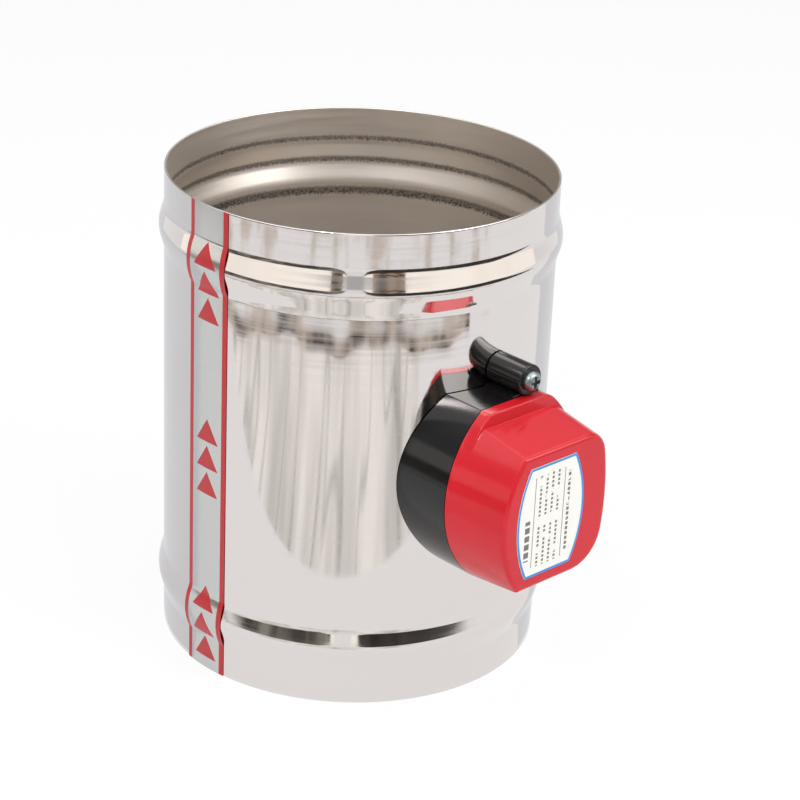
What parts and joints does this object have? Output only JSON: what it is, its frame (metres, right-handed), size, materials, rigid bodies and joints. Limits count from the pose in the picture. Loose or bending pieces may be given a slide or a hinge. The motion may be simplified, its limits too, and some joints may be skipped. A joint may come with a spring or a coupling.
{
  "type": "motorized duct damper",
  "caption": "Beaded round steel duct section with a butterfly blade on a cross shaft, turned between closed and open by a geared motor actuator seated on its side.",
  "frame": {"origin": "on the tube axis at the lower rim", "axes": "+Z along the tube in the direction of flow, +X along the blade shaft to the actuator"},
  "size_m": [0.2055, 0.1624, 0.2],
  "materials": {
    "polished_steel": "mirror polished outside, dull inside",
    "blade_steel": "mill finish stainless sheet",
    "tape_film": "printed silver film",
    "brass": "turned brass",
    "black_abs": "moulded gloss black",
    "red_abs": "moulded gloss red",
    "label_film": "printed white film with a blue border",
    "zinc_steel": "bright zinc plate",
    "spring_steel": "phosphated spring steel",
    "motor_can": "plated drawn steel can",
    "terminal_plastic": "white moulded nylon",
    "black_rubber": "black rubber",
    "switch_plastic": "black moulded phenolic",
    "plunger_plastic": "natural acetal",
    "aluminium_rivet": "pressed aluminium"
  },
  "bodies": {
    "root": {"duct_body": "polished_steel", "flow_tape": "tape_film", "drive_bushing": "brass", "tail_bushing": "brass", "actuator_base": "black_abs", "actuator_cover": "red_abs", "rating_label": "label_film", "mounting_screws": "zinc_steel", "gear_motor": "motor_can", "motor_plate": "zinc_steel", "motor_screws": "zinc_steel", "switch_screws": "zinc_steel", "terminal_block": "terminal_plastic", "terminal_screws": "brass", "cable_grommet": "black_rubber", "closed_limit_switch": "switch_plastic", "open_limit_switch": "switch_plastic"},
    "blade": {"damper_shaft": "zinc_steel", "tail_washer": "zinc_steel", "tail_clip": "spring_steel", "blade_upper_disc": "blade_steel", "blade_seal": "black_rubber", "blade_lower_disc": "blade_steel", "shaft_saddles": "zinc_steel", "saddle_rivets": "aluminium_rivet", "motor_shaft": "zinc_steel", "coupling_sleeve": "brass", "coupling_grub_screws": "spring_steel", "switch_cam": "plunger_plastic"},
    "closed_plunger": {"closed_switch_plunger": "plunger_plastic"},
    "open_plunger": {"open_switch_plunger": "plunger_plastic"}
  },
  "joints": [
    {"name": "damper_turn", "type": "hinge", "parent": "root", "child": "blade", "pos_m": [0, 0, 0.1], "axis": [1, 0, 0], "range_deg": [0, 90]},
    {"name": "closed_switch_press", "type": "slide", "parent": "root", "child": "closed_plunger", "axis": [0, -1, 0], "range_m": [0, 0.0008], "stiffness_N_per_m": 200},
    {"name": "open_switch_press", "type": "slide", "parent": "root", "child": "open_plunger", "axis": [0, 0, -1], "range_m": [0, 0.0008], "stiffness_N_per_m": 200}
  ]
}
